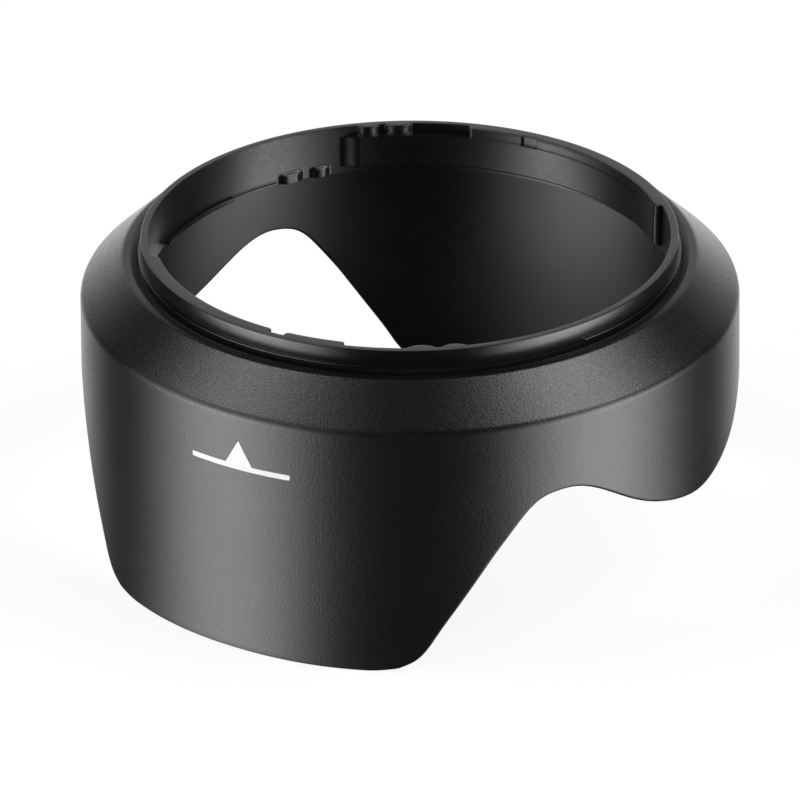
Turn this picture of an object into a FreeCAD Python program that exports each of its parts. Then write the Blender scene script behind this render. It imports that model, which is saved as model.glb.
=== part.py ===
import FreeCAD, Part
import math
import os
import Sketcher

# Petal lens hood with a bayonet rear ring, millimetres.
# Origin: centre of the rear mount face, on the optical axis.
# +Z points rearwards, out of the mount face, and is "up" in all notes.
# The hood hangs below the face, so every depth in the sheet is measured along -Z.
# Azimuths are in degrees, counter-clockwise from +X, seen from the rear.

doc = FreeCAD.newDocument("lens_hood")
Vector = FreeCAD.Vector

# The ring's features come twice, half a turn apart. The sheet holds the azimuths of
# the "rear" set, whose click catch is on the +Y side; the "front" one is on the -Y side.
SIDES = {"rear": 0, "front": 180}

# ----------------------------------------------------------------------------
# driving dimensions: alias, value, note
# ----------------------------------------------------------------------------
CELLS = [
    # rear ring
    ("rim_bore", 30.10, "ring inner radius between the bayonet lands"),
    ("rim_outer", 31.00, "outer radius of the plain band behind the shoulder"),
    ("rim_break", 30.92, "radius where the rear face's outer edge break starts"),
    ("rim_break_depth", 0.08, "depth of that edge break"),
    ("lip_outer", 31.36, "outer radius of the thin lip on the band"),
    ("lip_top_depth", 1.84, "lip, upper side at the band"),
    ("lip_edge_depth", 1.88, "lip, upper edge at its outer radius"),
    ("lip_low_depth", 2.02, "lip, lower edge"),
    ("seat_depth", 3.30, "ring shoulder that sits on the shell's seat"),
    ("collar_outer", 30.70, "outer radius of the collar below the seat"),
    ("collar_depth", 6.00, "lower end of the collar, and of the shelves and humps"),
    ("core_r", 30.40, "radius the lands and ledges run out to, inside the wall"),
    # bayonet lands and their top notches
    ("land_bore", 29.20, "inner radius of the bayonet lands"),
    ("land_depth", 5.20, "height of a land"),
    ("land_start", 12.00, "azimuth where a land starts, at its stop end"),
    ("land_sweep", 92.00, "angle covered by a land"),
    ("notch_depth", 1.25, "depth of the notches in the top of a land"),
    ("notch_a_start", 58.60, "narrow notch between long and short lug"),
    ("notch_a_sweep", 3.70, "its width in degrees"),
    ("notch_b_start", 75.80, "wide notch that holds the click bumps"),
    ("notch_b_sweep", 30.00, "its width in degrees"),
    ("lug_round", 0.45, "rounding of the lug corners, in plan"),
    ("stop_round", 0.80, "rounding of the land's two ends"),
    ("notch_rear_r", 29.55, "outer radius of the rear side's narrow notch, the shallower one"),
    ("notch_narrow_round", 0.15, "rounding of the narrow notches' corners, in plan"),
    # click bumps
    ("bump_a_az", 92.30, "azimuth of the wider bump"),
    ("bump_a_r", 2.20, "its plan radius"),
    ("bump_a_centre", 31.47, "radius of its centre"),
    ("bump_b_az", 99.20, "azimuth of the narrower bump"),
    ("bump_b_r", 1.75, "its plan radius"),
    ("bump_b_centre", 31.08, "radius of its centre"),
    # gap in the lip beside the click catch
    ("lip_gap_start", 84.50, "azimuth where the lip is left out"),
    ("lip_gap_sweep", 43.50, "its extent in degrees"),
    ("lip_gap_top", 1.60, "depth where the lip gap starts"),
    ("lip_gap_low", 2.40, "depth where the lip gap ends"),
    # lower ledges of the entry channels
    ("shelf_start", 134.80, "entry shelf, start azimuth"),
    ("shelf_sweep", 27.50, "entry shelf, extent"),
    ("shelf_top", 5.50, "entry shelf, top depth, and foot of the groove over it"),
    ("shelf_bore", 29.50, "entry shelf, inner radius"),
    ("groove_over_top", 4.60, "groove over the shelf, top depth"),
    ("groove_over_r", 30.42, "groove over the shelf, outer radius"),
    ("rail_start", 122.00, "thin rail, start azimuth"),
    ("rail_sweep", 13.50, "thin rail, extent"),
    ("rail_top", 5.35, "thin rail, top depth"),
    ("rail_low", 5.70, "thin rail, lower depth"),
    ("rail_bore", 30.00, "thin rail, inner radius"),
    ("hump_a_start", 108.40, "first lower hump, start azimuth"),
    ("hump_a_sweep", 5.10, "first lower hump, extent"),
    ("hump_b_start", 115.00, "second lower hump, start azimuth"),
    ("hump_b_sweep", 6.60, "second lower hump, extent"),
    ("hump_top", 4.85, "lower humps, top depth"),
    ("hump_bore", 29.75, "lower humps, inner radius"),
    # click catches
    ("catch_az", 91.60, "azimuth of a click catch's centre and travel"),
    ("catch_half", 6.70, "half width of a click catch"),
    ("catch_depth", 3.26, "lower end of a click catch"),
    ("catch_gap", 0.04, "running clearance around a click catch"),
    ("catch_inner", 26.00, "where the catch's cutting block starts"),
    ("catch_block", 7.50, "radial length of the cutting block"),
    # cutting shapes of the ring
    ("cut_over", 1.00, "how far notches, lip gap and catch blocks overrun the ring"),
    ("hole_over", 2.00, "height above the face of the cylinders that bore sectors"),
    ("hole_low", 12.00, "lower end of those cylinders"),
    # shell
    ("seat_bore", 30.75, "shell bore around the ring's collar"),
    ("seat_low", 4.90, "underside of the shell's seat"),
    ("seat_out", 33.80, "radius where the seat meets the inner cone"),
    ("slit_r", 31.45, "outer wall of the deep, narrow slit next to the ring"),
    ("groove_floor", 2.76, "top of the slit, where a shallow cone begins"),
    ("groove_r", 32.35, "outer edge of the shallow cone, where the flat land begins"),
    ("land_out", 33.25, "radius where the flat land and the outer cone would meet"),
    ("flat_land_depth", 2.28, "depth of the flat land"),
    ("land_round", 0.80, "outside rounding between flat land and cone"),
    ("crease_r", 38.14, "cone and skirt meet at this radius"),
    ("crease_depth", 6.66, "and at this depth"),
    ("crease_round", 1.30, "outside rounding of that corner"),
    ("inner_r", 36.46, "inner cone and skirt meet at this radius"),
    ("inner_depth", 7.20, "and at this depth"),
    ("inner_round", 1.00, "inside rounding of that corner"),
    ("tip_out", 38.82, "outer radius of the skirt at the blank's lower end"),
    ("tip_in", 37.30, "inner radius of the skirt at the blank's lower end"),
    ("skirt_end", 36.60, "lower end of the blank before the petals are cut"),
    # petal cutter
    ("petal_az", 58.80, "azimuth of a long petal's centre"),
    ("cut_in", 34.50, "inner radius of the petal cutter"),
    ("cut_out", 41.00, "outer radius of the petal cutter"),
    ("cut_low", 40.00, "lower end of the petal cutter"),
    # printed index
    ("mark_az", 240.10, "azimuth of the index mark's centre"),
    ("mark_base", 13.35, "depth of the index mark's lower edge"),
    ("mark_bar", 0.62, "height of the bar"),
    ("mark_width", 12.60, "width of the bar"),
    ("mark_tri", 1.95, "circumradius of the pointer"),
    ("mark_overlap", 0.02, "how far the pointer's foot sinks into the bar"),
    ("mark_ink", 0.05, "thickness of the ink"),
    ("mark_inner", 34.00, "radius where the mark's outline solids start"),
    ("mark_length", 8.00, "radial length of the outline solids"),
]
# Petal edge over a quarter turn: angle from a long petal's centre, depth of the edge.
PETAL_EDGE = [
    (0, 36.15), (6, 36.18), (12, 36.22), (18, 36.25), (22, 36.25), (25, 36.20),
    (27.5, 36.00), (29, 35.80), (30.2, 35.45), (31.5, 34.98), (32.8, 34.22),
    (34.1, 33.10), (35.5, 31.60), (37, 30.07), (39, 28.13), (41, 26.18),
    (43, 24.22), (45, 22.28), (47, 20.52), (48.5, 19.24), (50, 18.02),
    (51.5, 16.98), (53, 16.24), (55, 15.73), (57, 15.54), (59, 15.54),
    (61, 15.80), (63, 16.30), (65, 16.97), (67, 17.76), (69, 18.58),
    (71, 19.38), (73.5, 20.28), (76, 21.05), (79, 21.80), (82, 22.43),
    (85, 22.91), (87.5, 23.19), (90, 23.30)]
for k, (angle, depth) in enumerate(PETAL_EDGE):
    CELLS.append(("edge_phi_%02d" % k, float(angle), "petal edge point %d, angle" % k))
    CELLS.append(("edge_depth_%02d" % k, float(depth), "petal edge point %d, depth" % k))

sheet = doc.addObject("Spreadsheet::Sheet", "dims")
for row, (alias, number, note) in enumerate(CELLS, 1):
    sheet.set("A%d" % row, note)
    sheet.set("B%d" % row, repr(number))
    sheet.setAlias("B%d" % row, alias)
value = {alias: number for alias, number, note in CELLS}
doc.recompute()


# ----------------------------------------------------------------------------
# helpers; sizes passed to them as text are expressions on the sheet
# ----------------------------------------------------------------------------
def bound_object(kind, name, expressions):
    """Document object with each property bound to its expression."""
    item = doc.addObject(kind, name)
    for prop, expression in expressions.items():
        item.setExpression(prop, expression)
    return item


def combine(kind, name, shapes):
    """MultiFuse or MultiCommon of the shapes."""
    result = doc.addObject("Part::" + kind, name)
    result.Shapes = shapes
    return result


def cut(name, base, tool):
    result = doc.addObject("Part::Cut", name)
    result.Base = base
    result.Tool = tool
    return result


def cylinder(name, radius, top, low):
    """Cylinder on the optical axis between two depths."""
    return bound_object("Part::Cylinder", name, {
        "Radius": radius,
        "Height": "(%s) - (%s)" % (low, top),
        "Placement.Base.z": "-(%s)" % low})


def sector(name, side, radius, top, low, span=None):
    """Pie-shaped solid; its angles are the cells SPAN_start and SPAN_sweep."""
    span = span or name
    pie = cylinder(name + "_" + side, radius, top, low)
    pie.setExpression("Angle", "dims.%s_sweep" % span)
    pie.setExpression("Placement.Rotation.Angle", "dims.%s_start + %d" % (span, SIDES[side]))
    return pie


def annular_sectors(name, spans, radius, bore, top, low):
    """Sectors on both sides, fused and bored through."""
    pies = [sector(span, side, radius, top, low) for side in SIDES for span in spans]
    fused = combine("MultiFuse", name + "_sectors", pies)
    hole = cylinder(name + "_bore", bore, "-dims.hole_over", "dims.hole_low")
    return cut(name, fused, hole)


def radial_box(name, azimuth, inner, length, width, height, low):
    """Box centred on an azimuth, running outwards from radius inner, standing on depth low."""
    angle = "((%s) * 1 deg)" % azimuth
    return bound_object("Part::Box", name, {
        "Length": length,
        "Width": width,
        "Height": height,
        "Placement.Base.x": "%s * cos(%s) + (%s) / 2 * sin(%s)" % (inner, angle, width, angle),
        "Placement.Base.y": "%s * sin(%s) - (%s) / 2 * cos(%s)" % (inner, angle, width, angle),
        "Placement.Base.z": "-(%s)" % low,
        "Placement.Rotation.Angle": azimuth})


def turned_body(name, points):
    """Body turned about the optical axis. points: (radius cell, depth cell or None)."""
    body = doc.addObject("PartDesign::Body", name)
    sketch = body.newObject("Sketcher::SketchObject", name + "_section")
    plane = next(item for item in body.Origin.OriginFeatures if item.Role == "XZ_Plane")
    sketch.AttachmentSupport = [(plane, "")]
    sketch.MapMode = "FlatFace"
    corners = [Vector(value[radius], -value[depth] if depth else 0.0, 0)
               for radius, depth in points]
    count = len(corners)
    for k in range(count):
        sketch.addGeometry(Part.LineSegment(corners[k], corners[(k + 1) % count]), False)
    for k in range(count):
        sketch.addConstraint(Sketcher.Constraint("Coincident", k, 2, (k + 1) % count, 1))
    for k, (radius, depth) in enumerate(points):
        index = sketch.addConstraint(
            Sketcher.Constraint("DistanceX", -1, 1, k, 1, value[radius]))
        sketch.setExpression("Constraints[%d]" % index, "dims." + radius)
        if depth:
            index = sketch.addConstraint(
                Sketcher.Constraint("DistanceY", k, 1, -1, 1, value[depth]))
            sketch.setExpression("Constraints[%d]" % index, "dims." + depth)
        else:
            sketch.addConstraint(Sketcher.Constraint("PointOnObject", k, 1, -1))
    turned = body.newObject("PartDesign::Revolution", name + "_turned")
    turned.Profile = sketch
    turned.ReferenceAxis = (sketch, ["V_Axis"])
    turned.Angle = 360.0
    doc.recompute()
    return body, turned


def circle_edge(shape, radius, z, tolerance=0.02):
    """Name of the circular edge of that radius at height z."""
    for k, edge in enumerate(shape.Edges, 1):
        curve = edge.Curve
        if (isinstance(curve, Part.Circle) and abs(curve.Radius - radius) < tolerance
                and abs(curve.Center.z - z) < tolerance):
            return "Edge%d" % k
    raise RuntimeError("no edge at radius %.2f z %.2f" % (radius, z))


def round_corner(body, name, base, radius_cell, depth_cell, round_cell):
    """PartDesign fillet on the circular corner at the given radius and depth."""
    fillet = body.newObject("PartDesign::Fillet", name)
    fillet.Base = (base, [circle_edge(base.Shape, value[radius_cell], -value[depth_cell])])
    fillet.setExpression("Radius", "dims." + round_cell)
    doc.recompute()
    return fillet


def vertical_edges(shape, radius, z_low, z_high):
    """Numbers of the edges parallel to Z at that radius, inside a z range."""
    found = []
    for k, edge in enumerate(shape.Edges, 1):
        if len(edge.Vertexes) != 2:
            continue
        start, end = [vertex.Point for vertex in edge.Vertexes]
        if math.hypot(start.x - end.x, start.y - end.y) > 1e-4:
            continue
        if min(start.z, end.z) < z_low - 1e-3 or max(start.z, end.z) > z_high + 1e-3:
            continue
        if abs(math.hypot(start.x, start.y) - radius) < 0.03:
            found.append(k)
    return found


def edge_azimuth(shape, k):
    """Azimuth of an upright edge, 0 to 360 degrees."""
    point = shape.Edges[k - 1].Vertexes[0].Point
    return math.degrees(math.atan2(point.y, point.x)) % 360.0


# ----------------------------------------------------------------------------
# rear ring: one turned blank carries both the ring and its two click catches
# ----------------------------------------------------------------------------
def make_notched_ring():
    """Turned ring with the bayonet lands, less notches, shelf grooves and lip gaps."""
    blank, _ = turned_body("ring_blank", [
        ("rim_bore", None), ("rim_break", None), ("rim_outer", "rim_break_depth"),
        ("rim_outer", "lip_top_depth"), ("lip_outer", "lip_edge_depth"),
        ("lip_outer", "lip_low_depth"), ("rim_outer", "lip_low_depth"),
        ("rim_outer", "seat_depth"), ("collar_outer", "seat_depth"),
        ("collar_outer", "collar_depth"), ("rim_bore", "collar_depth")])
    lands = annular_sectors("lands", ["land"], "dims.core_r", "dims.land_bore",
                            "0", "dims.land_depth")
    with_lands = combine("MultiFuse", "ring_with_lands", [blank, lands])

    tools = []
    narrow_radius = {"rear": "dims.notch_rear_r", "front": "dims.rim_bore"}
    for side in SIDES:
        for notch, radius in (("notch_a", narrow_radius[side]), ("notch_b", "dims.rim_bore")):
            tools.append(sector(notch, side, radius, "-dims.cut_over", "dims.notch_depth"))
        tools.append(sector("shelf_groove", side, "dims.groove_over_r",
                            "dims.groove_over_top", "dims.shelf_top", span="shelf"))
    tools.append(annular_sectors("lip_gap", ["lip_gap"], "dims.lip_outer + dims.cut_over",
                                 "dims.rim_outer", "dims.lip_gap_top", "dims.lip_gap_low"))
    notched = cut("ring_notched", with_lands, combine("MultiFuse", "ring_tools", tools))
    doc.recompute()
    return notched


def round_lands(notched):
    """Round the lug corners and the land ends in plan."""
    shape = notched.Shape
    short = vertical_edges(shape, value["land_bore"], -value["notch_depth"], 0.0)
    tall = [k for k in vertical_edges(shape, value["land_bore"], -value["land_depth"], 0.0)
            if k not in short]
    # only the rear side's narrow notch has its corners at these azimuths
    notch_start = value["notch_a_start"]
    notch_ends = (notch_start, notch_start + value["notch_a_sweep"])
    narrow = [k for k in short
              if any(abs(edge_azimuth(shape, k) - end) < 0.2 for end in notch_ends)]
    lug = [k for k in short if k not in narrow]
    rounded = doc.addObject("Part::Fillet", "ring_rounded")
    rounded.Base = notched
    rounded.Edges = [(k, value[cell], value[cell])
                     for edges, cell in ((narrow, "notch_narrow_round"), (lug, "lug_round"),
                                         (tall, "stop_round"))
                     for k in edges]
    doc.recompute()
    return rounded


def make_bump(bump, side):
    """Click bump, round in plan and as deep as the notch it stands in."""
    angle = "((dims.%s_az + %d) * 1 deg)" % (bump, SIDES[side])
    pin = cylinder("%s_round_%s" % (bump, side), "dims.%s_r" % bump, "0", "dims.notch_depth")
    pin.setExpression("Placement.Base.x", "dims.%s_centre * cos(%s)" % (bump, angle))
    pin.setExpression("Placement.Base.y", "dims.%s_centre * sin(%s)" % (bump, angle))
    disc = cylinder("%s_trim_%s" % (bump, side), "dims.core_r", "0", "dims.notch_depth")
    return combine("MultiCommon", "%s_%s" % (bump, side), [pin, disc])


def make_full_ring():
    """Ring with bumps and ledges, before the click catches are separated."""
    rounded = round_lands(make_notched_ring())
    bumps = [make_bump(bump, side) for side in SIDES for bump in ("bump_a", "bump_b")]
    # ledges at the foot of the entry channels
    shelves = annular_sectors("shelves", ["shelf"], "dims.core_r", "dims.shelf_bore",
                              "dims.shelf_top", "dims.collar_depth")
    rails = annular_sectors("rails", ["rail"], "dims.core_r", "dims.rail_bore",
                            "dims.rail_top", "dims.rail_low")
    humps = annular_sectors("humps", ["hump_a", "hump_b"], "dims.core_r", "dims.hump_bore",
                            "dims.hump_top", "dims.collar_depth")
    return combine("MultiFuse", "ring_all", [rounded] + bumps + [shelves, rails, humps])


# ----------------------------------------------------------------------------
# click catches: the stretch of ring wall that carries the bumps and springs outwards
# ----------------------------------------------------------------------------
def catch_box(name, side, clearance):
    """Block lying along the catch's travel, widened and deepened by the clearance."""
    low = "dims.catch_depth + " + clearance
    return radial_box(name + "_" + side, "dims.catch_az + %d" % SIDES[side],
                      inner="dims.catch_inner", length="dims.catch_block",
                      width="2 * (dims.catch_half + %s)" % clearance,
                      height=low + " + dims.cut_over", low=low)


def split_ring(full_ring):
    """The two click catches, and the mount ring with windows around them."""
    catches = []
    windows = []
    for side in SIDES:
        block = catch_box("catch_block", side, "0")
        catches.append(combine("MultiCommon", "click_catch_" + side, [full_ring, block]))
        windows.append(catch_box("catch_window", side, "dims.catch_gap"))
    mount_ring = cut("mount_ring", full_ring, combine("MultiFuse", "catch_windows", windows))
    doc.recompute()
    return catches, mount_ring


# ----------------------------------------------------------------------------
# hood shell: turned blank, three corners rounded, then the petals cut away
# ----------------------------------------------------------------------------
def make_shell_blank():
    body, turned = turned_body("shell_blank", [
        ("seat_bore", "seat_depth"), ("slit_r", "seat_depth"), ("slit_r", "groove_floor"),
        ("groove_r", "flat_land_depth"), ("land_out", "flat_land_depth"),
        ("crease_r", "crease_depth"), ("tip_out", "skirt_end"), ("tip_in", "skirt_end"),
        ("inner_r", "inner_depth"), ("seat_out", "seat_low"), ("seat_bore", "seat_low")])
    outer = round_corner(body, "crease_rounding", turned,
                         "crease_r", "crease_depth", "crease_round")
    land = round_corner(body, "land_rounding", outer,
                        "land_out", "flat_land_depth", "land_round")
    round_corner(body, "inner_rounding", land, "inner_r", "inner_depth", "inner_round")
    return body


def petal_edge_loop():
    """(angle, z) around the whole hood: the quarter mirrored, then turned by 180 degrees."""
    quarter = [(value["edge_phi_%02d" % k], -value["edge_depth_%02d" % k])
               for k in range(len(PETAL_EDGE))]
    half = quarter + [(180.0 - angle, z) for angle, z in reversed(quarter[:-1])]
    return half + [(angle + 180.0, z) for angle, z in half[1:-1]]


def edge_wire(radius):
    """Closed spline through the petal edge points at one radius."""
    points = []
    for angle, z in petal_edge_loop():
        azimuth = math.radians(value["petal_az"] + angle)
        points.append(Vector(radius * math.cos(azimuth), radius * math.sin(azimuth), z))
    curve = Part.BSplineCurve()
    curve.interpolate(Points=points, PeriodicFlag=True)
    return Part.Wire([curve.toShape()])


def floor_wire(radius):
    """Circle at the cutter's lower end; its seam lines up with the spline's start."""
    azimuth = math.radians(value["petal_az"])
    circle = Part.Circle(Vector(0, 0, -value["cut_low"]), Vector(0, 0, 1), radius)
    circle.XAxis = Vector(math.cos(azimuth), math.sin(azimuth), 0)
    return Part.Wire([circle.toShape()])


def make_petal_cutter():
    """Solid below the petal edge; its top is ruled radially, so depth follows azimuth only."""
    top_in, top_out = edge_wire(value["cut_in"]), edge_wire(value["cut_out"])
    low_in, low_out = floor_wire(value["cut_in"]), floor_wire(value["cut_out"])
    floor = Part.Face([low_out, low_in])
    faces = []
    for first, second in ((top_in, top_out), (top_in, low_in), (top_out, low_out)):
        faces.extend(Part.makeRuledSurface(first, second).Faces)
    faces.append(floor)
    skin = Part.Shell(faces)
    skin.sewShape()
    solid = Part.Solid(skin)
    if solid.Volume < 0:
        solid.reverse()
    cutter = doc.addObject("Part::Feature", "petal_cutter")
    cutter.Shape = solid
    return cutter


# ----------------------------------------------------------------------------
# index mark: a thin layer of ink on a long petal, a pointer standing on a bar
# ----------------------------------------------------------------------------
def skirt_cone(name, offset):
    """Cone along the skirt's outside, with its radii enlarged by the offset."""
    return bound_object("Part::Cone", name, {
        "Radius1": "dims.tip_out + " + offset,
        "Radius2": "dims.crease_r + " + offset,
        "Height": "dims.skirt_end - dims.crease_depth",
        "Placement.Base.z": "-dims.skirt_end"})


def make_pointer():
    """Triangular prism lying along the radius, one corner up, its foot in the bar."""
    pointer = doc.addObject("Part::Prism", "index_pointer")
    pointer.Polygon = 3
    pointer.setExpression("Circumradius", "dims.mark_tri")
    pointer.setExpression("Height", "dims.mark_length")
    azimuth = math.radians(value["mark_az"])
    # a triangle's centre is half its circumradius above its foot
    centre_z = (value["mark_bar"] - value["mark_base"] - value["mark_overlap"]
                + value["mark_tri"] / 2)
    to_azimuth = FreeCAD.Rotation(Vector(0, 0, 1), value["mark_az"])
    lay_down = FreeCAD.Rotation(Vector(0, 1, 0), 90)
    corner_up = FreeCAD.Rotation(Vector(0, 0, 1), 180)
    pointer.Placement = FreeCAD.Placement(
        Vector(value["mark_inner"] * math.cos(azimuth),
               value["mark_inner"] * math.sin(azimuth), centre_z),
        to_azimuth.multiply(lay_down).multiply(corner_up))
    return pointer


def make_index_mark():
    ink_skin = cut("ink_skin", skirt_cone("ink_outer", "dims.mark_ink"),
                   skirt_cone("ink_inner", "0"))
    bar = radial_box("index_bar", "dims.mark_az", inner="dims.mark_inner",
                     length="dims.mark_length", width="dims.mark_width",
                     height="dims.mark_bar", low="dims.mark_base")
    outline = combine("MultiFuse", "index_outline", [bar, make_pointer()])
    mark = combine("MultiCommon", "index_mark", [ink_skin, outline])
    doc.recompute()
    return mark


# ----------------------------------------------------------------------------
# build, check and export; each piece's label is its file name
# ----------------------------------------------------------------------------
catches, mount_ring = split_ring(make_full_ring())
shell_blank = make_shell_blank()
hood_shell = cut("hood_shell", shell_blank, make_petal_cutter())
doc.recompute()
index_mark = make_index_mark()
pieces = catches + [mount_ring, hood_shell, index_mark]

for item in doc.Objects:
    if "Invalid" in item.State or "Error" in item.State:
        raise RuntimeError("%s failed: %s" % (item.Name, item.State))
for piece in pieces:
    if piece.Shape.isNull() or not piece.Shape.isValid():
        raise RuntimeError(piece.Label + " has no valid shape")
    if len(piece.Shape.Solids) != 1:
        raise RuntimeError(piece.Label + " is not one solid")
if hood_shell.Shape.Volume >= shell_blank.Shape.Volume - 1.0:
    raise RuntimeError("the petal cutter removed nothing")

os.makedirs("parts", exist_ok=True)
for piece in pieces:
    piece.Shape.exportStep("parts/%s.step" % piece.Label)
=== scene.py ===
"""Lens hood of black moulded plastic, standing on its petal tips with the mount side up.

The hood's axis is Z and the mount face lies at z = 0, so the skirt reaches down into -Z.
Azimuths are in degrees from +X towards +Y. Lengths are in millimetres unless a comment says
metres, and become metres when a mesh is made. The camera looks from -Y towards +Y.
The parts are the shell with its petals, the ring with two click catches, and the index mark.
"""

import math

import bpy
import bmesh
import numpy as np
from mathutils import Matrix, Vector


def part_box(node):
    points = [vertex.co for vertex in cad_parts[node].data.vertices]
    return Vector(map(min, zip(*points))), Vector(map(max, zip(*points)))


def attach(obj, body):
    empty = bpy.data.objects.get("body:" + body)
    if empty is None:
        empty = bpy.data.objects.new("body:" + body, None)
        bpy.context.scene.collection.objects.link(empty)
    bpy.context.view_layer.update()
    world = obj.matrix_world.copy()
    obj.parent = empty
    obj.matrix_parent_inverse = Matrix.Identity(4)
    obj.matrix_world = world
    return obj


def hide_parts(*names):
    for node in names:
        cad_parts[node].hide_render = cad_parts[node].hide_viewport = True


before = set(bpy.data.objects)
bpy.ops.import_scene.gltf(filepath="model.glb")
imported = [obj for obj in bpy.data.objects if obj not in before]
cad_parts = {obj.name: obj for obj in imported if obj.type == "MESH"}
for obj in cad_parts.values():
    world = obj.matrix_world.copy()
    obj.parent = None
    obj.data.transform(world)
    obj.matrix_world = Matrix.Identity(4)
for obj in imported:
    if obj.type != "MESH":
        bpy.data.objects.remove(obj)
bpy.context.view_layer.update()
TIP_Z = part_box("hood_shell")[0].z      # petal tips, metres
MM = 0.001


# ---------------------------------------------------------------------------
# Curves and angles
# ---------------------------------------------------------------------------
def smooth(x):
    """Smoothstep from 0 to 1, held flat outside that range."""
    x = np.clip(x, 0.0, 1.0)
    return x * x * (3 - 2 * x)


def quarter_round(x):
    """Quarter circle that rises steeply from 0 and levels out at 1."""
    return np.sqrt(np.clip(1 - (1 - x) ** 2, 0, 1))


def wrap(angle):
    """Fold an angle into -180..180 degrees."""
    return (np.asarray(angle, float) + 180.0) % 360.0 - 180.0


def periodic_spline(knots, values, period):
    """Closed cubic spline through the knots; returns a function for its value or slope."""
    knots, values = np.asarray(knots, float), np.asarray(values, float)
    count = len(knots)
    gaps = np.diff(np.append(knots, knots[0] + period))
    secants = np.diff(np.append(values, values[0])) / gaps
    system = np.zeros((count, count))
    target = np.zeros(count)
    for i in range(count):
        system[i, i] = 2 * (gaps[i - 1] + gaps[i])
        system[i, (i - 1) % count] += gaps[i - 1]
        system[i, (i + 1) % count] += gaps[i]
        target[i] = 6 * (secants[i] - secants[i - 1])
    bend = np.linalg.solve(system, target)       # second derivative at each knot

    def evaluate(at, slope=False):
        at = (np.asarray(at, float) - knots[0]) % period + knots[0]
        i = np.clip(np.searchsorted(knots, at, side="right") - 1, 0, count - 1)
        j = (i + 1) % count
        gap = gaps[i]
        past = at - knots[i]
        left = knots[i] + gap - at
        if slope:
            return (-bend[i] * left * left / (2 * gap) + bend[j] * past * past / (2 * gap)
                    + (values[j] - values[i]) / gap - (bend[j] - bend[i]) * gap / 6)
        return ((bend[i] * left ** 3 + bend[j] * past ** 3) / (6 * gap)
                + (values[i] / gap - bend[i] * gap / 6) * left
                + (values[j] / gap - bend[j] * gap / 6) * past)
    return evaluate


def fillet(before, corner, after, radius, steps):
    """Points of the arc that rounds the corner of the polyline before-corner-after."""
    before, corner, after = (np.array(p, float) for p in (before, corner, after))
    back = (before - corner) / np.linalg.norm(before - corner)
    ahead = (after - corner) / np.linalg.norm(after - corner)
    half_angle = math.acos(np.clip(back @ ahead, -1, 1)) / 2
    setback = radius / math.tan(half_angle)
    bisector = (back + ahead) / np.linalg.norm(back + ahead)
    centre = corner + bisector * radius / math.sin(half_angle)
    first = corner + back * setback - centre
    last = corner + ahead * setback - centre
    turn = math.acos(np.clip(first @ last / (radius * radius), -1, 1))
    return [centre + (math.sin((1 - k / steps) * turn) * first
                      + math.sin(k / steps * turn) * last) / math.sin(turn)
            for k in range(steps + 1)]


# ---------------------------------------------------------------------------
# Meshes
# ---------------------------------------------------------------------------
def link_object(name, mesh):
    ob = bpy.data.objects.new(name, mesh)
    bpy.context.scene.collection.objects.link(ob)
    return ob


def mesh_from_grid(name, points, closed_u=True, materials_v=None):
    """Quads over points (U, V, 3); V always closes. materials_v: slot of each V strip."""
    count_u, count_v = points.shape[:2]
    index = np.arange(count_u * count_v).reshape(count_u, count_v)
    u = np.arange(count_u if closed_u else count_u - 1)
    v = np.arange(count_v)
    next_u, next_v = (u + 1) % count_u, (v + 1) % count_v
    corners = [index[np.ix_(u, v)], index[np.ix_(next_u, v)],
               index[np.ix_(next_u, next_v)], index[np.ix_(u, next_v)]]
    faces = np.stack(corners, -1).reshape(-1, 4)
    mesh = bpy.data.meshes.new(name)
    mesh.vertices.add(count_u * count_v)
    mesh.vertices.foreach_set("co", (points.reshape(-1, 3) * MM).astype(np.float32).ravel())
    mesh.loops.add(faces.size)
    mesh.loops.foreach_set("vertex_index", faces.astype(np.int32).ravel())
    mesh.polygons.add(len(faces))
    mesh.polygons.foreach_set("loop_start", np.arange(0, faces.size, 4, dtype=np.int32))
    mesh.polygons.foreach_set("loop_total", np.full(len(faces), 4, np.int32))
    if materials_v is not None:
        slots = np.broadcast_to(np.array(materials_v)[None, :], (len(u), len(v)))
        mesh.polygons.foreach_set("material_index", slots.astype(np.int32).ravel())
    mesh.update(calc_edges=True)
    mesh.validate()
    return link_object(name, mesh)


def polar_points(r, angle, z):
    """Points (..., 3) from radius, angle in radians and height."""
    return np.stack(np.broadcast_arrays(r * np.cos(angle), r * np.sin(angle), z), -1)


class TurnedProfile:
    """Closed profile carried round Z, whose radii and heights may vary with azimuth."""

    def __init__(self, azimuths):
        self.angles = np.radians(azimuths)
        self.radii, self.heights, self.slots = [], [], []

    def add(self, r, z, slot):
        """Next profile point; the slot colours the strip from here to the following point."""
        self.radii.append(np.broadcast_to(np.asarray(r, float), self.angles.shape))
        self.heights.append(np.broadcast_to(np.asarray(z, float), self.angles.shape))
        self.slots.append(slot)

    def add_points(self, points, slot):
        for r, z in points:
            self.add(r, z, slot)

    def build(self, name, materials):
        points = polar_points(np.stack(self.radii, 1), self.angles[:, None],
                              np.stack(self.heights, 1))
        ob = mesh_from_grid(name, points, materials_v=self.slots)
        bm = bmesh.new()
        bm.from_mesh(ob.data)
        bmesh.ops.recalc_face_normals(bm, faces=bm.faces)
        bm.to_mesh(ob.data)
        bm.free()
        for material in materials:
            ob.data.materials.append(material)
        return ob


def finish_part(ob, sharp_angle, body, node):
    """Smooth shading with sharp edges above an angle in degrees, then the frame's records."""
    ob.data.polygons.foreach_set("use_smooth", np.ones(len(ob.data.polygons), bool))
    ob.data.set_sharp_from_angle(angle=math.radians(sharp_angle))
    ob.data.update()
    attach(ob, body)
    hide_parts(node)


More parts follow.
